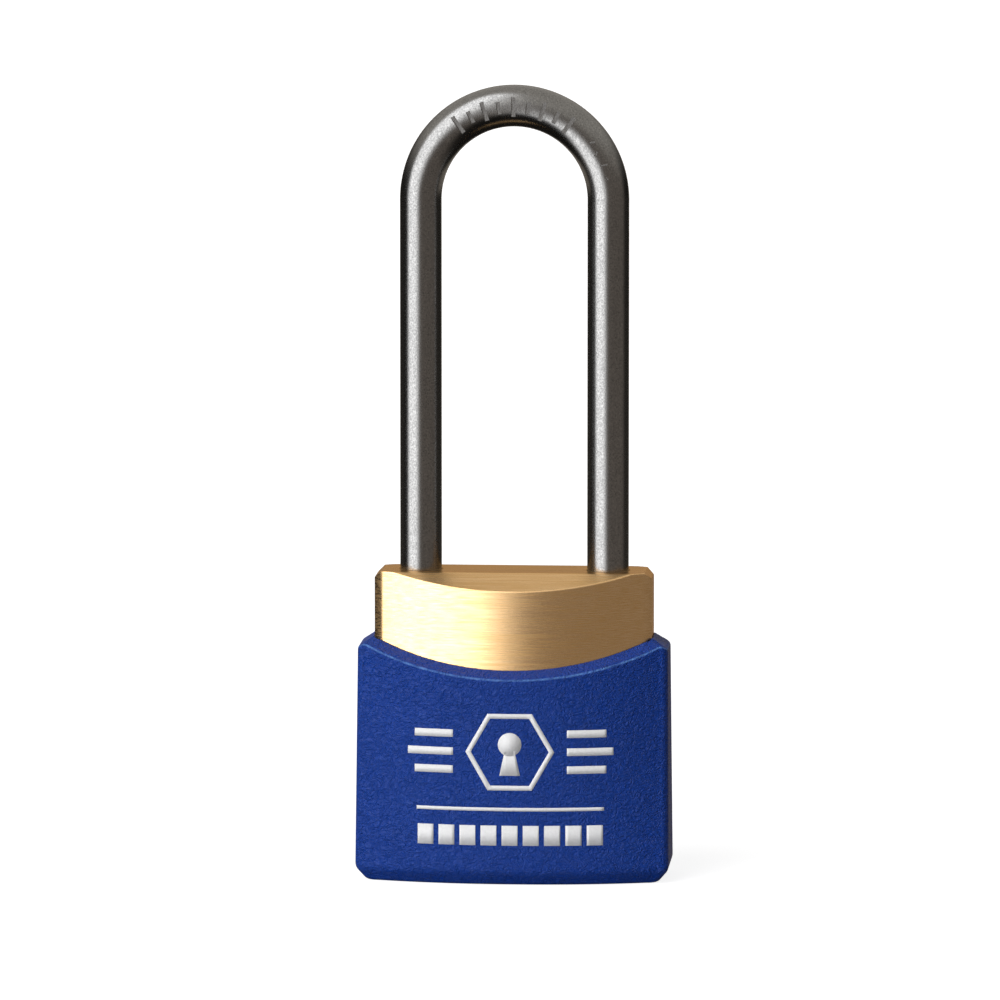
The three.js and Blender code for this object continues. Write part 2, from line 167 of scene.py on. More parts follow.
class PadlockBodySettings(bpy.types.PropertyGroup):
    """Sizes and colours of the brass body."""

    width: length_setting("Width", "Width of the body", BODY_HIGH.x - BODY_LOW.x)
    thickness: length_setting("Thickness", "Thickness at the middle of the faces", BODY_HIGH.y - BODY_LOW.y)
    side_thickness: length_setting("Side thickness", "Thickness where the faces meet the corners", 7.5 * MM)
    corner: length_setting("Corner", "Chamfer of the upright edges", 0.93 * MM)
    crown_slope: angle_setting("Crown slope", "Fall of the two facets below the flat top", 30)
    strip_half: length_setting("Half strip", "Half the depth of the flat top", 4.63 * MM)
    top_chamfer: length_setting("Top chamfer", "Chamfer at the two ends of the top", 0.9 * MM)
    edge: length_setting("Edge", "Rounding of the edges", 0.22 * MM)
    leg_gap: length_setting("Leg gap", "Gap around the shackle's legs at the top", 0.1 * MM)
    colour: colour_setting("Brass", "Colour of clean brass", (0.9, 0.63, 0.36, 1))
    worn_colour: colour_setting("Dull brass", "Colour of brass in its scratches", (0.66, 0.4, 0.15, 1))
    roughness: share_setting("Roughness", "Roughness of the brushed faces", 0.26)


class PadlockJacketSettings(bpy.types.PropertyGroup):
    """Sizes and colours of the moulded jacket and its print."""

    floor: length_setting("Floor", "Thickness of the floor", 2.0 * MM)
    gap: length_setting("Gap", "Gap between the jacket and the brass", 0.05 * MM)
    face_wall: length_setting("Face wall", "Front and back wall at the rim, with its gap", 1.66 * MM)
    side_wall: length_setting("Side wall", "Side walls at the rim, with their gap", 2.35 * MM)
    side_draft: length_setting("Side draft", "How much wider each side is at the bottom", 0.3 * MM)
    face_draft: length_setting("Face draft", "How much deeper each face is at the bottom", 0.25 * MM)
    base_face_radius: length_setting("Base bow", "Radius of the faces at the bottom", 65 * MM)
    corner: length_setting("Corner", "Rounding of the upright edges", 1.2 * MM)
    chamfer_width: length_setting("Chamfer width", "Run of the chamfer round the bottom", 1.6 * MM)
    chamfer_height: length_setting("Chamfer height", "Rise of the chamfer round the bottom", 1.95 * MM)
    rim_drop: length_setting("Rim drop", "From the brass top to the rim at the corners", 9.8 * MM)
    rim_slope: number_setting("Rim slope", "Fall over run, front and back", 0.775)
    side_drop: length_setting("Side rim drop", "From the brass top to the rim at the sides", 9.36 * MM)
    side_slope: number_setting("Side rim slope", "Fall over run, sides", 0.674)
    opening: length_setting("Key opening", "Radius of the opening around the plug", 7 * MM)
    colour: colour_setting("Plastic", "Colour of the plastic", (0.002, 0.041, 0.31, 1))
    # Pale colour of the scuffs, and of the painted highlight along the rim's ridge.
    pale_colour: colour_setting("Scuffed plastic and ridge highlight", "Colour of the scuffs and of the painted highlight on the rim's ridge", (0.1, 0.24, 0.62, 1))
    print_colour: colour_setting("Print", "Colour of the print", (0.93, 0.93, 0.94, 1))
    roughness: share_setting("Roughness", "Roughness of the plastic", 0.38)


class PadlockShackleSettings(bpy.types.PropertyGroup):
    """Sizes and colours of the shackle."""

    diameter: length_setting("Diameter", "Diameter of the bar", SHACKLE_HIGH.y - SHACKLE_LOW.y)
    toe_depth: length_setting("Toe depth", "How far the toe leg reaches into the body", 12 * MM)
    toe_taper: length_setting("Toe taper", "Chamfer at the end of the toe leg", 1 * MM)
    notch_depth: length_setting("Notch depth", "Depth of the notch that the bolt enters", 1.9 * MM)
    neck_step: length_setting("Neck step", "How much thinner the heel's neck is", 1 * MM)
    foot_height: length_setting("Foot height", "Height of the foot under the neck", 2 * MM)
    neck_top: length_setting("Neck top", "Height at which the neck meets the full bar", 32 * MM)
    edge: length_setting("Edge", "Rounding of the turned edges", 0.2 * MM)
    stamp_depth: length_setting("Stamp depth", "Depth of the stamped ticks on the bend", 0.4 * MM)
    colour: colour_setting("Steel", "Colour of the steel", (0.35, 0.348, 0.345, 1))
    speck_colour: colour_setting("Pitted steel", "Colour of the fine pits", (0.15, 0.15, 0.15, 1))
    roughness: share_setting("Roughness", "Roughness of the tumbled finish", 0.22)


class PadlockStageSettings(bpy.types.PropertyGroup):
    """Camera, light and floor."""

    azimuth: angle_setting("Azimuth", "Camera's turn about the padlock", 4)
    elevation: angle_setting("Elevation", "Camera's height angle", 7)
    distance: length_setting("Distance", "From the camera to the padlock", 1.4)
    view_width: length_setting("View width", "Width that the camera sees at the padlock", 144.1 * MM)
    aim_x: bpy.props.FloatProperty(name="Aim across", description="Aim point, across", default=-2.1 * MM)
    aim_above_top: length_setting("Aim height", "Aim point above the brass top", 10.0 * MM)
    floor_colour: colour_setting("Floor", "Colour of the floor", (0.5, 0.5, 0.5, 1))
    floor_glow: number_setting("Floor glow", "Glow of the floor towards the camera", 0.86)
    light_strength: number_setting("Light", "Brightness of the soft light", 3.4)
    light_from: angle_setting("Light from", "Turn to the middle of the light's left fade", -69)
    light_to: angle_setting("Light to", "Turn to the middle of the light's right fade", -13.5)
    left_fade: angle_setting("Left fade", "Turn over which the light fades on its left", 16)
    right_fade: angle_setting("Right fade", "Turn over which the light fades on its right", 31)
    low_fill: number_setting("Low fill", "Level light on matt faces", 0.08)
    high_fill: number_setting("High fill", "Light from above on matt faces", 0.15)
    side_colour: colour_setting("Side", "Light of the room's right side in metal", (0.27, 0.232, 0.2, 1))
    back_colour: colour_setting("Back", "Light from straight behind in metal", (0.3, 0.25, 0.2, 1))
    wall_colour: colour_setting("Wall", "Light of the low wall behind in metal", (0.36, 0.32, 0.27, 1))
    ceiling_colour: colour_setting("Ceiling", "Light of the ceiling in metal", (0.7, 0.66, 0.6, 1))


# ---- Mesh helpers ----


def add_object(name, bm):
    """Makes a shaded object from a bmesh, with edges over 30 degrees kept sharp."""
    bmesh.ops.recalc_face_normals(bm, faces=bm.faces)
    mesh = bpy.data.meshes.new(name)
    bm.to_mesh(mesh)
    bm.free()
    mesh.shade_smooth()
    mesh.set_sharp_from_angle(angle=SHARP)
    piece = bpy.data.objects.new(name, mesh)
    bpy.context.scene.collection.objects.link(piece)
    return piece


def skin(rings, closed=False, ridge_highlight=()):
    """A bmesh whose quads join each ring of points to the next. The two ends are capped unless closed.

    Points of the rings numbered in the last argument get a 1 in an attribute of that argument's name, where
    the plastic paints a pale highlight.
    """
    bm = bmesh.new()
    mark = bm.verts.layers.float.new("ridge_highlight")
    loops = [[bm.verts.new(point) for point in ring] for ring in rings]
    for number in ridge_highlight:
        for vertex in loops[number]:
            vertex[mark] = 1.0
    pairs = list(zip(loops, loops[1:]))
    if closed:
        pairs.append((loops[-1], loops[0]))
    for low, high in pairs:
        count = len(low)
        for index in range(count):
            after = (index + 1) % count
            bm.faces.new((low[index], low[after], high[after], high[index]))
    if not closed:
        bm.faces.new(loops[0])
        bm.faces.new(loops[-1])
    bmesh.ops.remove_doubles(bm, verts=bm.verts, dist=1e-7)
    return bm


def rounded(points, radii, steps=5):
    """A path through points whose corners are rounded by the given radii. Every path has the same count."""
    path = []
    for index, (point, radius) in enumerate(zip(points, radii)):
        if radius == 0:
            path.append(point)
            continue
        before = points[index - 1] - point
        after = points[(index + 1) % len(points)] - point
        reach = min(radius, before.length * 0.45, after.length * 0.45)
        start = point + before.normalized() * reach
        end = point + after.normalized() * reach
        for step in range(steps + 1):
            share = step / steps
            path.append(start * (1 - share) ** 2 + point * (2 * share * (1 - share)) + end * share**2)
    return path


def bow_radius(half_chord, rise):
    """The radius of an arc that rises by rise over a half chord."""
    return (half_chord**2 + rise**2) / (2 * rise)


def bowed_outline(half_width, half_depth, face_radius, corner, corner_steps, face_steps=72):
    """The outline of a block with two bowed faces, counter-clockwise from the front's left corner."""
    face_end = half_width - corner
    reach = math.asin(face_end / face_radius)
    corner_y = half_depth - face_radius * (1 - math.cos(reach)) - corner
    face = []
    for step in range(face_steps + 1):
        angle = reach * (2 * step / face_steps - 1)
        face.append((face_radius * math.sin(angle), face_radius * (1 - math.cos(angle)) - half_depth))
    turn = []
    for step in range(1, corner_steps + 1):
        angle = math.pi / 2 * step / corner_steps
        turn.append((face_end + corner * math.sin(angle), -corner_y - corner * math.cos(angle)))
    front = [(-x, y) for x, y in reversed(turn)] + face + turn
    return front + [(-x, -y) for x, y in front]


def circle(radius, sides, start=0.0):
    """Points of a circle about the origin."""
    angles = [start + 2 * math.pi * side / sides for side in range(sides)]
    return [(radius * math.cos(angle), radius * math.sin(angle)) for angle in angles]


def turned(profile, centre, direction=(0, 0, 1), sides=64):
    """A bmesh turned on a lathe: the profile holds (radius, height) pairs, from end to end."""
    turn = Vector((0, 0, 1)).rotation_difference(Vector(direction)).to_matrix()
    rings = []
    for radius, height in profile:
        ring = [turn @ Vector((x, y, height)) + Vector(centre) for x, y in circle(radius, sides)]
        rings.append(ring)
    return skin(rings)


def weld(bm):
    """Joins points that lie together and removes faces without area."""
    bmesh.ops.remove_doubles(bm, verts=bm.verts, dist=WELD)
    bmesh.ops.dissolve_degenerate(bm, edges=bm.edges, dist=WELD)


def carve(piece, cutters):
    """Cuts the cutters' shapes out of the piece and removes them."""
    for cutter in cutters:
        cut = piece.modifiers.new("cut", "BOOLEAN")
        cut.operation = "DIFFERENCE"
        cut.solver = "EXACT"
        cut.object = cutter
    depsgraph = bpy.context.evaluated_depsgraph_get()
    carved = bpy.data.meshes.new_from_object(piece.evaluated_get(depsgraph))
    piece.modifiers.clear()
    bm = bmesh.new()
    bm.from_mesh(carved)
    weld(bm)
    bm.to_mesh(carved)
    bm.free()
    piece.data = carved
    carved.name = piece.name
    carved.set_sharp_from_angle(angle=SHARP)
    for cutter in cutters:
        bpy.data.objects.remove(cutter)


def keep_flats_flat(piece):
    """Weights the normals by face area, so that flat faces stay flat up to their rounded edges."""
    weighted = piece.modifiers.new("weighted normals", "WEIGHTED_NORMAL")
    weighted.keep_sharp = True
    weighted.weight = 100


# ---- Shader helpers ----


def new_group(name, inputs, outputs):
    """An empty shader node group with named sockets: inputs hold (name, socket type, default)."""
    group = bpy.data.node_groups.new(name, "ShaderNodeTree")
    for label, kind, default in inputs:
        socket = group.interface.new_socket(name=label, in_out="INPUT", socket_type=kind)
        socket.default_value = default
    for label, kind in outputs:
        group.interface.new_socket(name=label, in_out="OUTPUT", socket_type=kind)
    return group, group.nodes.new("NodeGroupInput"), group.nodes.new("NodeGroupOutput")


def place(tree, kind, inputs=None, **options):
    """Adds a node, sets its options, and sets or links its inputs."""
    node = tree.nodes.new(kind)
    for key, value in options.items():
        setattr(node, key, value)
    for key, value in (inputs or {}).items():
        if isinstance(value, bpy.types.NodeSocket):
            tree.links.new(value, node.inputs[key])
        else:
            node.inputs[key].default_value = value
    return node


def grain_group():
    """Fine noise stretched by a scale per axis, in marks per millimetre: brushing, pitting or moulding."""
    group = bpy.data.node_groups.get("grain")
    if group:
        return group
    group, given, result = new_group(
        "grain",
        [
            ("Scale", "NodeSocketVector", (1, 1, 1)),
            ("Detail", "NodeSocketFloat", 4),
            ("Contrast", "NodeSocketFloat", 1),
            ("Distortion", "NodeSocketFloat", 0),
        ],
        [("Height", "NodeSocketFloat"), ("Mask", "NodeSocketFloat")],
    )
    place_on = place(group, "ShaderNodeTexCoord")
    in_mm = place(
        group, "ShaderNodeVectorMath", {0: place_on.outputs["Object"], 1: (1 / MM, 1 / MM, 1 / MM)},
        operation="MULTIPLY",
    )
    scaled = place(
        group, "ShaderNodeVectorMath", {0: in_mm.outputs[0], 1: given.outputs["Scale"]}, operation="MULTIPLY"
    )
    noise = place(
        group,
        "ShaderNodeTexNoise",
        {
            "Vector": scaled.outputs[0],
            "Scale": 1.0,
            "Detail": given.outputs["Detail"],
            "Roughness": 0.6,
            "Distortion": given.outputs["Distortion"],
        },
    )
    centred = place(group, "ShaderNodeMath", {0: noise.outputs["Fac"], 1: 0.5}, operation="SUBTRACT")
    spread = place(
        group, "ShaderNodeMath", {0: centred.outputs[0], 1: given.outputs["Contrast"]}, operation="MULTIPLY"
    )
    mask = place(group, "ShaderNodeMath", {0: spread.outputs[0], 1: 0.5}, operation="ADD", use_clamp=True)
    group.links.new(noise.outputs["Fac"], result.inputs["Height"])
    group.links.new(mask.outputs[0], result.inputs["Mask"])
    return group


def edge_wear_group():
    """A mask of 1 along sharp edges, broken up by noise."""
    group = bpy.data.node_groups.get("edge wear")
    if group:
        return group
    group, given, result = new_group(
        "edge wear",
        [("Radius", "NodeSocketFloat", 0.3 * MM), ("Amount", "NodeSocketFloat", 1)],
        [("Mask", "NodeSocketFloat")],
    )
    soft = place(group, "ShaderNodeBevel", {"Radius": given.outputs["Radius"]}, samples=4)
    sharp = place(group, "ShaderNodeNewGeometry")
    match = place(
        group, "ShaderNodeVectorMath", {0: soft.outputs["Normal"], 1: sharp.outputs["Normal"]},
        operation="DOT_PRODUCT",
    )
    ridge_highlight = place(
        group,
        "ShaderNodeMapRange",
        {"Value": match.outputs["Value"], "From Min": 0.995, "From Max": 0.9, "To Min": 0.0, "To Max": 1.0},
    )
    patches = place(group, "ShaderNodeGroup", node_tree=grain_group())
    patches.inputs["Scale"].default_value = (0.8, 0.8, 0.8)
    patches.inputs["Contrast"].default_value = 3
    broken = place(
        group, "ShaderNodeMath", {0: ridge_highlight.outputs[0], 1: patches.outputs["Mask"]}, operation="MULTIPLY"
    )
    scaled = place(
        group, "ShaderNodeMath", {0: broken.outputs[0], 1: given.outputs["Amount"]}, operation="MULTIPLY",
        use_clamp=True,
    )
    group.links.new(scaled.outputs[0], result.inputs["Mask"])
    return group


def add_grain(tree, scale, detail=4.0, contrast=1.0, distortion=0.0):
    """Places the grain group with its own values."""
    node = place(tree, "ShaderNodeGroup", node_tree=grain_group())
    node.inputs["Scale"].default_value = scale
    node.inputs["Detail"].default_value = detail
    node.inputs["Contrast"].default_value = contrast
    node.inputs["Distortion"].default_value = distortion
    return node


def new_material(name):
    """A material with a Principled shader linked to its output."""
    material = bpy.data.materials.new(name)
    material.use_nodes = True
    tree = material.node_tree
    tree.nodes.clear()
    shader = tree.nodes.new("ShaderNodeBsdfPrincipled")
    output = tree.nodes.new("ShaderNodeOutputMaterial")
    tree.links.new(shader.outputs[0], output.inputs["Surface"])
    return material, tree, shader


def mix_colours(tree, mask, first, second):
    """A colour between two, by a mask."""
    node = place(tree, "ShaderNodeMix", data_type="RGBA")
    tree.links.new(mask, node.inputs["Factor"])
    for socket, colour in ((node.inputs[6], first), (node.inputs[7], second)):
        if isinstance(colour, bpy.types.NodeSocket):
            tree.links.new(colour, socket)
        else:
            socket.default_value = colour
    return node.outputs[2]


def stretch(tree, value, low, high):
    """Maps 0 to 1 onto low to high."""
    node = place(tree, "ShaderNodeMapRange", {"Value": value, "To Min": low, "To Max": high})
    return node.outputs[0]


def step_between(tree, value, start, end):
    """A soft step from 0 at the start to 1 at the end."""
    node = place(
        tree, "ShaderNodeMapRange", {"Value": value, "From Min": start, "From Max": end},
        interpolation_type="SMOOTHSTEP",
    )
    return node.outputs[0]


def multiply(tree, first, second):
    """The product of two values."""
    return place(tree, "ShaderNodeMath", {0: first, 1: second}, operation="MULTIPLY").outputs[0]


def add_bump(tree, height, distance, strength=1.0, normal=None):
    """A Bump node over an optional first normal."""
    inputs = {"Height": height, "Distance": distance, "Strength": strength}
    if normal is not None:
        inputs["Normal"] = normal
    return place(tree, "ShaderNodeBump", inputs).outputs["Normal"]


def brushed_brass(name, settings, roughness, along=(0.07, 1.5, 8.0)):
    """Brass with fine brushing along X, dull scratches and bright edge wear."""
    material, tree, shader = new_material(name)
    brushing = add_grain(tree, along, 5.0, 3.2)
    fine = add_grain(tree, (along[0] * 3, along[1] * 3, along[2] * 2.5), 3.0, 2.2)
    clouds = add_grain(tree, (0.09, 0.2, 0.2), 3.0, 2.0)
    edge_wear_and_ridge_highlight = place(tree, "ShaderNodeGroup", node_tree=edge_wear_group())
    edge_wear_and_ridge_highlight.inputs["Amount"].default_value = 0.7
    streaks = multiply(tree, brushing.outputs["Mask"], stretch(tree, fine.outputs["Mask"], 0.5, 1.0))
    scratched = mix_colours(tree, streaks, settings.colour[:], settings.worn_colour[:])
    clouded = mix_colours(
        tree, stretch(tree, clouds.outputs["Mask"], 0.0, 0.25), scratched, settings.worn_colour[:]
    )
    bright = tuple(min(1.0, channel * 1.15) for channel in settings.colour[:3]) + (1,)
    tree.links.new(mix_colours(tree, edge_wear_and_ridge_highlight.outputs["Mask"], clouded, bright), shader.inputs["Base Color"])
    shader.inputs["Metallic"].default_value = 1.0
    shader.inputs["Specular Tint"].default_value = (1.0, 0.78, 0.52, 1)
    tree.links.new(stretch(tree, streaks, roughness - 0.06, roughness + 0.16), shader.inputs["Roughness"])
    coarse_bump = add_bump(tree, brushing.outputs["Height"], 0.014 * MM, 0.9)
    bump = add_bump(tree, fine.outputs["Height"], 0.006 * MM, 0.8, coarse_bump)
    tree.links.new(bump, shader.inputs["Normal"])
    return material


def turned_metal(name, colour, roughness):
    """Plain turned or drawn metal for the works inside."""
    material, tree, shader = new_material(name)
    rings = add_grain(tree, (3.0, 3.0, 3.0), 3.0, 1.5)
    dark = tuple(channel * 0.75 for channel in colour[:3]) + (1,)
    tree.links.new(mix_colours(tree, rings.outputs["Mask"], dark, colour), shader.inputs["Base Color"])
    shader.inputs["Metallic"].default_value = 1.0
    rough = stretch(tree, rings.outputs["Mask"], roughness, roughness + 0.12)
    tree.links.new(rough, shader.inputs["Roughness"])
    tree.links.new(add_bump(tree, rings.outputs["Height"], 0.005 * MM, 0.5), shader.inputs["Normal"])
    return material


def moulded_plastic(name, settings):
    """Satin blue plastic with a fine worm-like grain and a pale painted highlight along the ridge of its rim.
    """
    material, tree, shader = new_material(name)
    peel = add_grain(tree, (1.3, 1.3, 1.8), 2.0, 2.6, 1.6)
    fine = add_grain(tree, (6.0, 6.0, 6.0), 3.0, 1.2)
    clouds = add_grain(tree, (0.12, 0.12, 0.12), 3.0, 1.5)
    # Painted highlight: pale colour along the rim's ridge, where the mesh marks it, broken into dashes by
    # noise.
    ridge_highlight_breaks = add_grain(tree, (0.9, 0.9, 0.9), 4.0, 5.0)
    ridge = place(tree, "ShaderNodeAttribute", attribute_name="ridge_highlight")
    edge_wear_and_ridge_highlight = multiply(tree, ridge.outputs["Fac"], stretch(tree, ridge_highlight_breaks.outputs["Mask"], 0.35, 0.95))
    deep = tuple(channel * 0.85 for channel in settings.colour[:3]) + (1,)
    clouded = mix_colours(tree, clouds.outputs["Mask"], deep, settings.colour[:])
    scuffs = stretch(tree, peel.outputs["Mask"], 0.0, 0.06)
    base = mix_colours(tree, scuffs, clouded, settings.pale_colour[:])
    tree.links.new(mix_colours(tree, edge_wear_and_ridge_highlight, base, settings.pale_colour[:]), shader.inputs["Base Color"])
    rough = stretch(tree, fine.outputs["Mask"], settings.roughness - 0.06, settings.roughness + 0.08)
    tree.links.new(rough, shader.inputs["Roughness"])
    shader.inputs["IOR"].default_value = 1.5
    shader.inputs["Specular IOR Level"].default_value = 0.22
    coarse_bump = add_bump(tree, peel.outputs["Height"], 0.45 * MM, 1.0)
    bump = add_bump(tree, fine.outputs["Height"], 0.03 * MM, 0.5, coarse_bump)
    tree.links.new(bump, shader.inputs["Normal"])
    return material


def tumbled_steel(name, settings):
    """Satin stainless steel with fine pits and faint marks along the bar."""
    material, tree, shader = new_material(name)
    pits = add_grain(tree, (5.0, 5.0, 4.0), 4.0, 2.6)
    marks = add_grain(tree, (2.0, 2.0, 0.25), 4.0, 1.8)
    base = mix_colours(tree, pits.outputs["Mask"], settings.speck_colour[:], settings.colour[:])
    dulling = stretch(tree, marks.outputs["Mask"], 0.0, 0.4)
    dull = mix_colours(tree, dulling, base, settings.speck_colour[:])
    tree.links.new(dull, shader.inputs["Base Color"])
    shader.inputs["Metallic"].default_value = 1.0
    rough = stretch(tree, pits.outputs["Mask"], settings.roughness + 0.08, settings.roughness - 0.05)
    tree.links.new(rough, shader.inputs["Roughness"])
    coarse_bump = add_bump(tree, marks.outputs["Height"], 0.01 * MM, 0.5)
    bump = add_bump(tree, pits.outputs["Height"], 0.012 * MM, 0.8, coarse_bump)
    tree.links.new(bump, shader.inputs["Normal"])
    return material


def white_print(name, settings):
    """Pad-printed white ink, a little thin in places."""
    material, tree, shader = new_material(name)
    thin = add_grain(tree, (2.5, 2.5, 2.5), 4.0, 2.5)
    greyed = tuple(channel * 0.9 for channel in settings.print_colour[:3]) + (1,)
    tree.links.new(
        mix_colours(tree, thin.outputs["Mask"], greyed, settings.print_colour[:]), shader.inputs["Base Color"]
    )
    tree.links.new(stretch(tree, thin.outputs["Mask"], 0.45, 0.6), shader.inputs["Roughness"])
    tree.links.new(add_bump(tree, thin.outputs["Height"], 0.02 * MM, 0.3), shader.inputs["Normal"])
    return material


# ---- Brass body ----


class PADLOCK_OT_brass_body(bpy.types.Operator):
    """Make the brass body with its crowned top, chamfers and bores"""

    bl_idname = "padlock.brass_body"
    bl_label = "Brass body"

    def execute(self, context):
        settings = context.scene.padlock_body
        half_width = settings.width / 2
        half_depth = settings.thickness / 2
        rise = (settings.thickness - settings.side_thickness) / 2
        face_radius = bow_radius(half_width - settings.corner, rise)
        outline = bowed_outline(half_width, half_depth, face_radius, settings.corner, 1)
        top = BODY_HIGH.z
        strip = settings.strip_half
        end = half_width - settings.top_chamfer
        paths = []
        for x, y in outline:
            crown = top - max(0.0, abs(y) - strip) * math.tan(settings.crown_slope)
            chamfer = top - max(0.0, abs(x) - end)
            wall_top = min(crown, chamfer)
            inner_x = math.copysign(min(abs(x), end - settings.edge), x)
            inner_y = math.copysign(min(abs(y), strip), y)
            if abs(y) - abs(inner_y) < settings.edge:
                inner_y = math.copysign(abs(y) - settings.edge, y)
            points = [
                Vector((x, y, BODY_LOW.z)),
                Vector((x, y, wall_top)),
                Vector((inner_x, inner_y, top)),
            ]
            points.append(Vector((inner_x * 0.97, inner_y * 0.9, top)))
            paths.append(rounded(points, (0, settings.edge, settings.edge, 0)))
        rings = [list(ring) for ring in zip(*paths)]
        piece = add_object("brass_body", skin(rings))
        carve(piece, self.bores(context, settings))
        piece.data.materials.clear()
        piece.data.materials.append(brushed_brass("brushed brass", settings, settings.roughness))
        keep_flats_flat(piece)
        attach(piece, "lock_body")
        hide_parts("body")
        return {"FINISHED"}

    def bores(self, context, settings):
        """Cutters for the bores of the legs, plug, cam, bolt, pin stacks and cross pins.

        Bores that meet have numbers of sides that don't line up, which keeps the cut brass closed.
        """
        shackle = context.scene.padlock_shackle
        leg_radius = shackle.diameter / 2 + settings.leg_gap
        leg_x = SHACKLE_HIGH.x - shackle.diameter / 2
        over = 1 * MM
        top = BODY_HIGH.z
        rim = 0.12 * MM
        cutters = []
        depths = {1: shackle.toe_depth + over, -1: top - SHACKLE_SPRING_LOW.z + over}
        for side, depth in depths.items():
            profile = [
                (leg_radius, top - depth),
                (leg_radius, top - rim),
                (leg_radius + rim + over, top + over),
            ]
            cutters.append(add_object("leg_cutter", turned(profile, (side * leg_x, 0, 0))))
        room = 0.3 * MM
        plug_radius = (PLUG_HIGH.x - PLUG_LOW.x) / 2 + room
        profile = [(plug_radius, BODY_LOW.z - over), (plug_radius, PLUG_HIGH.z + room)]
        cutters.append(add_object("plug_cutter", turned(profile, (0, 0, 0))))
        bolt_z = (BOLT_HIGH.z + BOLT_LOW.z) / 2
        cam_radius = (CAM_HIGH.x - CAM_LOW.x) / 2 + room
        profile = [(cam_radius, CAM_LOW.z), (cam_radius, bolt_z)]
        cutters.append(add_object("cam_cutter", turned(profile, (0, 0, 0), sides=53)))
        bolt_radius = (BOLT_HIGH.z - BOLT_LOW.z) / 2 + room
        profile = [(bolt_radius, BOLT_SPRING_LOW.x - room), (bolt_radius, leg_x)]
        cutters.append(add_object("bolt_cutter", turned(profile, (0, 0, bolt_z), (1, 0, 0), 61)))
        for number in range(1, PIN_STACKS + 1):
            low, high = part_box(f"driver_pin_{number}")
            radius = (high.z - low.z) / 2 + PIN_GAP
            profile = [(radius, 0), (radius, BODY_HIGH.x + over)]
            centre = (0, 0, (low.z + high.z) / 2)
            cutters.append(add_object("pin_cutter", turned(profile, centre, (1, 0, 0), 37)))
        for name in CROSS_PINS:
            low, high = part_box(name)
            radius = (high.x - low.x) / 2 + PIN_GAP
            centre = ((low.x + high.x) / 2, 0, (low.z + high.z) / 2)
            profile = [(radius, low.y - PIN_GAP), (radius, high.y + PIN_GAP)]
            cutters.append(add_object("cross_cutter", turned(profile, centre, (0, 1, 0), 31)))
        return cutters


# ---- Jacket ----


def jacket_levels(body, jacket):
    """The jacket's rim, base and bottom outlines, and the heights of the rim's and sides' peaks."""
    rise = (body.thickness - body.side_thickness) / 2
    body_radius = bow_radius(body.width / 2 - body.corner, rise)
    rim_width = body.width / 2 + jacket.side_wall
    rim_depth = body.thickness / 2 + jacket.face_wall
    rim = bowed_outline(rim_width, rim_depth, body_radius + jacket.face_wall, jacket.corner, 8)
    base_width = rim_width + jacket.side_draft
    base_depth = rim_depth + jacket.face_draft
    base = bowed_outline(base_width, base_depth, jacket.base_face_radius, jacket.corner, 8)
    inset = jacket.chamfer_width
    bottom = bowed_outline(base_width - inset, base_depth - inset, jacket.base_face_radius, jacket.corner, 8)
    peak = BODY_HIGH.z - jacket.rim_drop + jacket.rim_slope * body.side_thickness / 2
    side_peak = BODY_HIGH.z - jacket.side_drop + jacket.side_slope * body.width / 2
    return rim, base, bottom, peak, side_peak


def front_depth(body, jacket, x, z):
    """How far the jacket's front stands from the middle plane at a place."""
    rise = (body.thickness - body.side_thickness) / 2
    rim_radius = bow_radius(body.width / 2 - body.corner, rise) + jacket.face_wall
    rim_depth = body.thickness / 2 + jacket.face_wall
    base_depth = rim_depth + jacket.face_draft
    peak = jacket_levels(body, jacket)[3]
    share = (z - jacket.chamfer_height) / (peak - jacket.chamfer_height)
    at_rim = rim_depth - (rim_radius - math.sqrt(rim_radius**2 - x * x))
    base_radius = jacket.base_face_radius
    at_base = base_depth - (base_radius - math.sqrt(base_radius**2 - x * x))
    return at_base + (at_rim - at_base) * share


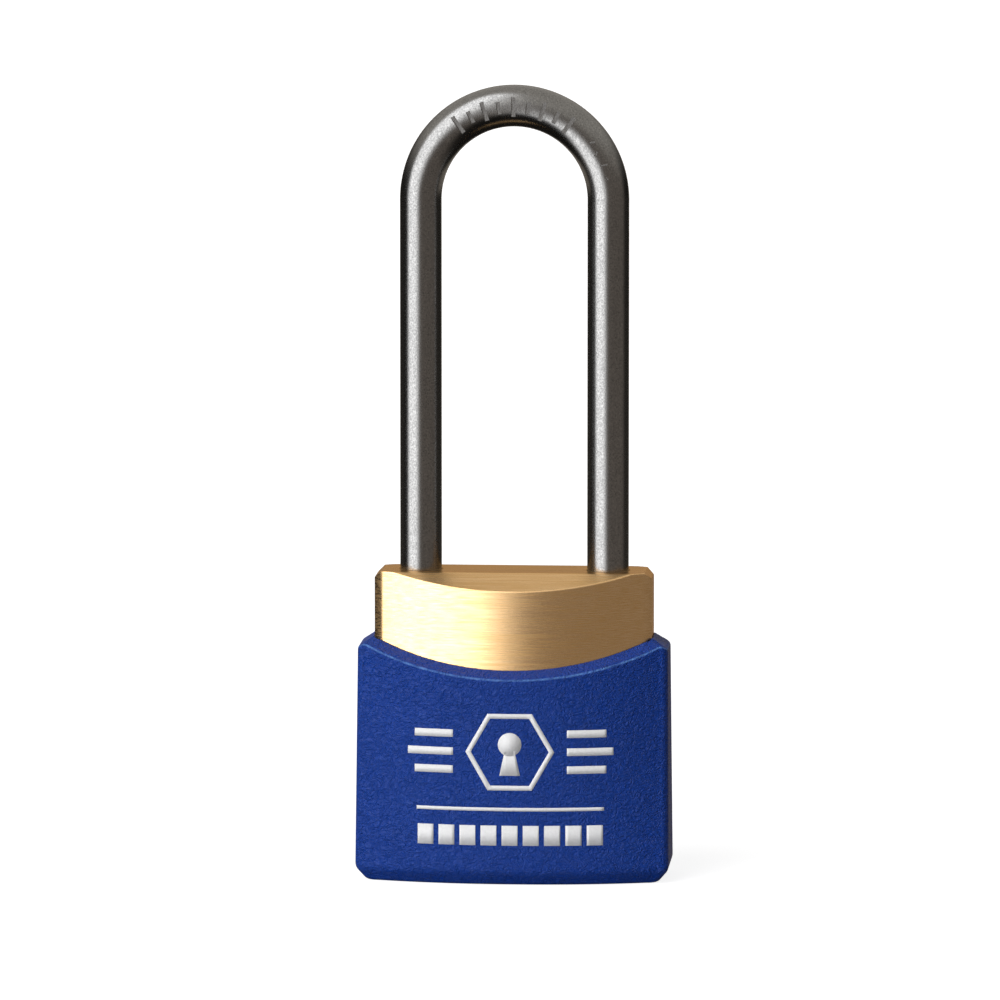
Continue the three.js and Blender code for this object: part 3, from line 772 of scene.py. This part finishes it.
class PADLOCK_OT_jacket(bpy.types.Operator):
    """Make the moulded jacket with its sloping rim, soft edges and key opening"""

    bl_idname = "padlock.jacket"
    bl_label = "Jacket"

    def execute(self, context):
        body = context.scene.padlock_body
        jacket = context.scene.padlock_jacket
        rim, base, bottom, peak, side_peak = jacket_levels(body, jacket)
        rise = (body.thickness - body.side_thickness) / 2
        cavity_radius = bow_radius(body.width / 2 - body.corner, rise) + jacket.gap
        cavity = bowed_outline(
            body.width / 2 + jacket.gap, body.thickness / 2 + jacket.gap, cavity_radius, body.corner, 8
        )
        base_z = jacket.chamfer_height
        wall_steps = 12
        paths = []
        for inner, outer, foot, under in zip(cavity, rim, base, bottom):
            inner_z = min(
                peak - jacket.rim_slope * abs(inner[1]), side_peak - jacket.side_slope * abs(inner[0])
            )
            height = peak - base_z
            face_share = (peak - jacket.rim_slope * abs(foot[1]) - base_z) / (
                height + jacket.rim_slope * (abs(outer[1]) - abs(foot[1]))
            )
            side_share = (side_peak - jacket.side_slope * abs(foot[0]) - base_z) / (
                height + jacket.side_slope * (abs(outer[0]) - abs(foot[0]))
            )
            share = min(face_share, side_share)
            foot_point = Vector((*foot, base_z))
            ridge = foot_point.lerp(Vector((*outer, peak)), share)
            heading = math.atan2(under[1], under[0])
            hole = Vector((jacket.opening * math.cos(heading), jacket.opening * math.sin(heading), 0))
            points = [Vector((*inner, jacket.floor)), Vector((*inner, inner_z)), ridge]
            radii = [0, 0.3 * MM, 0.4 * MM]
            for step in range(1, wall_steps):
                points.append(ridge.lerp(foot_point, step / wall_steps))
                radii.append(0)
            points += [foot_point, Vector((*under, 0)), hole, hole + Vector((0, 0, jacket.floor))]
            radii += [0.7 * MM, 0.6 * MM, 0.4 * MM, 0]
            paths.append(rounded(points, radii))
        rings = [list(ring) for ring in zip(*paths)]
        # Rings 9 and 10 run along the rim's ridge and get the pale painted highlight.
        piece = add_object("jacket_shell", skin(rings, closed=True, ridge_highlight=(9, 10)))
        piece.data.materials.append(moulded_plastic("moulded plastic", jacket))
        keep_flats_flat(piece)
        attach(piece, "lock_body")
        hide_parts("jacket")
        return {"FINISHED"}


# ---- Print ----


def plate(bm, outline, hole=None):
    """Adds a flat shape in X and Z, with an optional hole of the same count of points."""
    outer = [bm.verts.new((x, 0, z)) for x, z in outline]
    if hole is None:
        bm.faces.new(outer)
        return
    inner = [bm.verts.new((x, 0, z)) for x, z in hole]
    for index in range(len(outer)):
        after = (index + 1) % len(outer)
        bm.faces.new((outer[index], outer[after], inner[after], inner[index]))


def rectangle(x, z, width, height):
    """Corners of an upright rectangle about a middle point."""
    return [
        (x - width / 2, z - height / 2),
        (x + width / 2, z - height / 2),
        (x + width / 2, z + height / 2),
        (x - width / 2, z + height / 2),
    ]


class PADLOCK_OT_print(bpy.types.Operator):
    """Make the plain white print: a keyhole sign in a hexagon, stripes, and a row of blocks"""

    bl_idname = "padlock.print"
    bl_label = "Print"

    def execute(self, context):
        body = context.scene.padlock_body
        jacket = context.scene.padlock_jacket
        bm = bmesh.new()
        middle = SIGN_HEIGHT
        hexagon = [(x, z + middle) for x, z in circle(HEXAGON, 6)]
        inner_hexagon = [(x, z + middle) for x, z in circle(HEXAGON - HEXAGON_LINE, 6)]
        plate(bm, hexagon, inner_hexagon)
        plate(bm, [(x, z + middle + KEYHOLE_RISE) for x, z in circle(KEYHOLE, 32)])
        plate(bm, [(x * MM, z * MM + middle) for x, z in KEYHOLE_SKIRT])
        for side in (-1, 1):
            for row, width in STRIPE_WIDTHS.items():
                x = side * (STRIPE_START + width / 2)
                plate(bm, rectangle(x, middle + row * STRIPE_PITCH, width, STRIPE_HEIGHT))
        for index in range(BLOCKS):
            x = (index - (BLOCKS - 1) / 2) * BLOCK_PITCH
            plate(bm, rectangle(x, BLOCK_HEIGHT, *BLOCK_SIZE))
        plate(bm, rectangle(0, BAR_HEIGHT, *BAR_SIZE))
        for step in range(-SLICES_A_SIDE, SLICES_A_SIDE + 1):
            geometry = bm.verts[:] + bm.edges[:] + bm.faces[:]
            bmesh.ops.bisect_plane(bm, geom=geometry, plane_co=(step * SLICE, 0, 0), plane_no=(1, 0, 0))
        weld(bm)
        for vertex in bm.verts:
            depth = front_depth(body, jacket, vertex.co.x, vertex.co.z)
            vertex.co.y = -depth - INK_LIFT
        bmesh.ops.recalc_face_normals(bm, faces=bm.faces)
        piece = add_object("front_print", bm)
        ink = piece.modifiers.new("ink", "SOLIDIFY")
        ink.thickness = INK_THICKNESS
        ink.offset = 0
        piece.data.materials.append(white_print("white print", jacket))
        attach(piece, "lock_body")
        return {"FINISHED"}


# ---- Shackle ----


class PADLOCK_OT_shackle(bpy.types.Operator):
    """Make the shackle with its foot, neck, bend, notch and toe"""

    bl_idname = "padlock.shackle"
    bl_label = "Shackle"

    def execute(self, context):
        settings = context.scene.padlock_shackle
        radius = settings.diameter / 2
        leg_x = SHACKLE_HIGH.x - radius
        bend_z = SHACKLE_HIGH.z - radius - leg_x
        foot = SHACKLE_LOW.z
        neck = radius - settings.neck_step
        edge = settings.edge
        foot_top = foot + settings.foot_height
        stations = [
            (foot, radius - edge),
            (foot + edge, radius),
            (foot_top - edge, radius),
            (foot_top, radius - edge),
            (foot_top, neck),
            (settings.neck_top, neck),
            (settings.neck_top, radius - edge),
            (settings.neck_top + edge, radius),
        ]
        across = Vector((1, 0, 0))
        rings = [self.ring((-leg_x, z), across, size) for z, size in stations]
        leg_steps = 24
        for step in range(1, leg_steps):
            z = settings.neck_top + edge + (bend_z - settings.neck_top - edge) * step / leg_steps
            rings.append(self.ring((-leg_x, z), across, radius))
        bend_steps = 96
        for step in range(bend_steps + 1):
            angle = math.pi * (1 - step / bend_steps)
            outward = Vector((math.cos(angle), 0, math.sin(angle)))
            rings.append(self.ring((leg_x * outward.x, bend_z + leg_x * outward.z), -outward, radius))
        toe = BODY_HIGH.z - settings.toe_depth
        for step in range(1, leg_steps):
            z = bend_z + (toe + settings.toe_taper + edge - bend_z) * step / leg_steps
            rings.append(self.ring((leg_x, z), -across, radius))
        taper = settings.toe_taper
        for z, size in (
            (toe + taper + edge, radius),
            (toe + taper - edge, radius - edge),
            (toe + edge, radius - taper),
            (toe, radius - taper - edge),
        ):
            rings.append(self.ring((leg_x, z), -across, size))
        piece = add_object("shackle_bar", skin(rings))
        carve(piece, [self.notch(settings, leg_x), *self.stamps(settings, leg_x, bend_z)])
        piece.data.materials.clear()
        piece.data.materials.append(tumbled_steel("tumbled steel", settings))
        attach(piece, "shackle")
        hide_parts("shackle")
        return {"FINISHED"}

    def stamps(self, settings, leg_x, bend_z):
        """Cutters for a row of plain ticks stamped across the front of the bend, and for a few nicks."""
        marks = [(54 + 9 * step, leg_x, 0.62, 1.8 + 1.0 * (step % 2 == 0), 0) for step in range(9)]
        marks += [(37, leg_x + 0.6 * MM, 0.25, 0.9, 30), (30, leg_x + 0.2 * MM, 0.3, 0.7, -40)]
        marks += [(22, leg_x + 0.5 * MM, 0.22, 1.1, 10), (14, leg_x + 0.3 * MM, 0.25, 0.6, 60)]
        cutters = []
        for degrees, reach, width, length, lean in marks:
            angle = math.radians(degrees)
            bm = bmesh.new()
            bmesh.ops.create_cube(bm, size=1)
            size = Matrix.Diagonal((width * MM, 1 * MM, length * MM, 1))
            turn = Matrix.Rotation(math.pi / 2 - angle + math.radians(lean), 4, "Y")
            x = reach * math.cos(angle)
            z = bend_z + reach * math.sin(angle)
            sunk = Vector((x, -settings.diameter / 2 - (0.5 * MM - settings.stamp_depth), z))
            bmesh.ops.transform(bm, matrix=Matrix.Translation(sunk) @ turn @ size, verts=bm.verts)
            cutters.append(add_object("stamp_cutter", bm))
        return cutters

    def ring(self, place, across, radius, sides=56):
        """A round section at (x, z), with `across` in the plane of the shackle."""
        centre = Vector((place[0], 0, place[1]))
        side = Vector((0, 1, 0))
        return [centre + across * x + side * y for x, y in circle(radius, sides)]

    def notch(self, settings, leg_x):
        """A cutter for the notch that the bolt enters."""
        half = (BOLT_HIGH.z - BOLT_LOW.z) / 2 + 0.3 * MM
        middle = (BOLT_HIGH.z + BOLT_LOW.z) / 2
        inner = leg_x - settings.diameter / 2
        bm = bmesh.new()
        bmesh.ops.create_cube(bm, size=1)
        deep = settings.diameter + 2 * MM
        low = inner - 1 * MM
        high = inner + settings.notch_depth
        scale = Matrix.Diagonal((high - low, deep, 2 * half, 1))
        move = Matrix.Translation(((low + high) / 2, 0, middle))
        bmesh.ops.transform(bm, matrix=move @ scale, verts=bm.verts)
        return add_object("notch_cutter", bm)


# ---- The works ----


class PADLOCK_OT_works(bpy.types.Operator):
    """Give the plug, cam, bolt, pins and springs their metals"""

    bl_idname = "padlock.works"
    bl_label = "Works"

    def execute(self, context):
        body = context.scene.padlock_body
        plug_brass = brushed_brass("plug brass", body, 0.35, (1.5, 1.5, 1.5))
        pin_brass = turned_metal("turned brass", (0.7, 0.5, 0.24, 1), 0.3)
        steel = turned_metal("ground steel", (0.56, 0.56, 0.55, 1), 0.3)
        wire = turned_metal("spring wire", (0.62, 0.62, 0.6, 1), 0.25)
        finishes = {name: plug_brass for name in BRASS_NODES}
        finishes.update({name: steel for name in STEEL_NODES})
        finishes.update({name: wire for name in SPRING_NODES})
        for number in range(1, PIN_STACKS + 1):
            finishes[f"key_pin_{number}"] = pin_brass
            finishes[f"pin_cap_{number}"] = pin_brass
            finishes[f"driver_pin_{number}"] = steel
            finishes[f"pin_spring_{number}"] = wire
        for name, material in finishes.items():
            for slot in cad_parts[name].material_slots:
                slot.material = material
        return {"FINISHED"}


# ---- Stage ----


class PADLOCK_OT_stage(bpy.types.Operator):
    """Make the floor, the light and the camera"""

    bl_idname = "padlock.stage"
    bl_label = "Stage"

    def execute(self, context):
        settings = context.scene.padlock_stage
        self.make_camera(context, settings)
        self.make_floor(settings)
        self.make_room(context, settings)
        context.scene.view_settings.view_transform = "Standard"
        return {"FINISHED"}

    def make_camera(self, context, settings):
        """A long lens in front, a little above and to the right."""
        data = bpy.data.cameras.new("camera")
        data.sensor_width = 36
        data.lens = data.sensor_width / 2 / (settings.view_width / 2 / settings.distance)
        data.clip_start = 0.05
        camera = bpy.data.objects.new("camera", data)
        context.scene.collection.objects.link(camera)
        aim = Vector((settings.aim_x, 0, BODY_HIGH.z + settings.aim_above_top))
        level = math.cos(settings.elevation)
        back = Vector(
            (
                math.sin(settings.azimuth) * level,
                -math.cos(settings.azimuth) * level,
                math.sin(settings.elevation),
            )
        )
        camera.location = aim + back * settings.distance
        camera.rotation_euler = back.to_track_quat("Z", "Y").to_euler()
        context.scene.camera = camera

    def make_floor(self, settings):
        """A wide pale floor that also glows a little towards the camera, so that it stays even."""
        bm = bmesh.new()
        bmesh.ops.create_grid(bm, x_segments=1, y_segments=1, size=6)
        floor = add_object("floor", bm)
        floor.location.z = min(0.0, CAD_BOX[0][2]) - 0.05 * MM
        material, tree, shader = new_material("floor paint")
        shader.inputs["Base Color"].default_value = settings.floor_colour[:]
        shader.inputs["Roughness"].default_value = 0.9
        shader.inputs["Specular IOR Level"].default_value = 0.1
        ray = place(tree, "ShaderNodeLightPath")
        shader.inputs["Emission Color"].default_value = WHITE
        glow = multiply(tree, ray.outputs["Is Camera Ray"], settings.floor_glow)
        tree.links.new(glow, shader.inputs["Emission Strength"])
        floor.data.materials.append(material)
        floor.visible_glossy = False

    def make_room(self, context, settings):
        """A wide soft light on the left in a dim warm room with a pale ceiling; white to the camera."""
        world = bpy.data.worlds.new("room")
        world.use_nodes = True
        tree = world.node_tree
        tree.nodes.clear()
        ray = place(tree, "ShaderNodeLightPath")
        towards = place(tree, "ShaderNodeTexCoord")
        parts = place(tree, "ShaderNodeSeparateXYZ", {0: towards.outputs["Generated"]})
        height = parts.outputs["Z"]
        forward = multiply(tree, parts.outputs["Y"], -1.0)
        across = parts.outputs["X"]
        turn = place(tree, "ShaderNodeMath", {0: across, 1: forward}, operation="ARCTAN2").outputs[0]
        left, right = settings.light_from, settings.light_to
        rise = step_between(tree, turn, left - settings.left_fade / 2, left + settings.left_fade / 2)
        fall = step_between(tree, turn, right + settings.right_fade / 2, right - settings.right_fade / 2)
        beam = multiply(tree, multiply(tree, rise, fall), step_between(tree, height, *BEAM_TOP))
        beam = multiply(tree, beam, step_between(tree, height, *BEAM_FOOT))
        side = multiply(
            tree, step_between(tree, forward, *SIDE_DEPTH), step_between(tree, height, *SIDE_FOOT)
        )
        side = multiply(tree, side, step_between(tree, across, *SIDE_LEFT))
        back = multiply(
            tree, step_between(tree, forward, *BACK_DEPTH), step_between(tree, height, *BACK_FOOT)
        )
        wall = multiply(tree, step_between(tree, height, *WALL_FOOT), step_between(tree, height, *WALL_TOP))
        wall = multiply(tree, wall, step_between(tree, forward, *WALL_DEPTH))
        room = mix_colours(tree, side, DARK, settings.side_colour[:])
        room = mix_colours(tree, wall, room, settings.wall_colour[:])
        room = mix_colours(tree, back, room, settings.back_colour[:])
        room = mix_colours(tree, step_between(tree, height, *CEILING_RISE), room, settings.ceiling_colour[:])
        low_fill = (settings.low_fill,) * 3 + (1,)
        high_fill = (settings.high_fill,) * 3 + (1,)
        fill = mix_colours(tree, step_between(tree, height, *FILL_RISE), low_fill, high_fill)
        room = mix_colours(tree, ray.outputs["Is Glossy Ray"], fill, room)
        lit = mix_colours(tree, beam, room, (settings.light_strength,) * 3 + (1,))
        seen = mix_colours(tree, ray.outputs["Is Camera Ray"], lit, WHITE)
        light = place(tree, "ShaderNodeBackground", {"Color": seen, "Strength": 1.0})
        output = tree.nodes.new("ShaderNodeOutputWorld")
        tree.links.new(light.outputs[0], output.inputs["Surface"])
        context.scene.world = world


# ---- Panel and running ----


class PADLOCK_PT_panel(bpy.types.Panel):
    """Lists the padlock's pieces"""

    bl_idname = "PADLOCK_PT_panel"
    bl_label = "Padlock"
    bl_space_type = "VIEW_3D"
    bl_region_type = "UI"
    bl_category = "Padlock"

    def draw(self, context):
        for operator in OPERATORS:
            self.layout.operator(operator.bl_idname)


SETTINGS = {
    "padlock_body": PadlockBodySettings,
    "padlock_jacket": PadlockJacketSettings,
    "padlock_shackle": PadlockShackleSettings,
    "padlock_stage": PadlockStageSettings,
}
OPERATORS = (
    PADLOCK_OT_stage,
    PADLOCK_OT_brass_body,
    PADLOCK_OT_jacket,
    PADLOCK_OT_print,
    PADLOCK_OT_shackle,
    PADLOCK_OT_works,
)


def register():
    for name, group in SETTINGS.items():
        bpy.utils.register_class(group)
        setattr(bpy.types.Scene, name, bpy.props.PointerProperty(type=group))
    for operator in OPERATORS:
        bpy.utils.register_class(operator)
    bpy.utils.register_class(PADLOCK_PT_panel)


def unregister():
    bpy.utils.unregister_class(PADLOCK_PT_panel)
    for operator in reversed(OPERATORS):
        bpy.utils.unregister_class(operator)
    for name, group in reversed(SETTINGS.items()):
        delattr(bpy.types.Scene, name)
        bpy.utils.unregister_class(group)


def main():
    register()
    bpy.ops.padlock.stage()
    bpy.ops.padlock.brass_body()
    bpy.ops.padlock.jacket()
    bpy.ops.padlock.print()
    bpy.ops.padlock.shackle()
    bpy.ops.padlock.works()


if __name__ == "__main__":
    main()
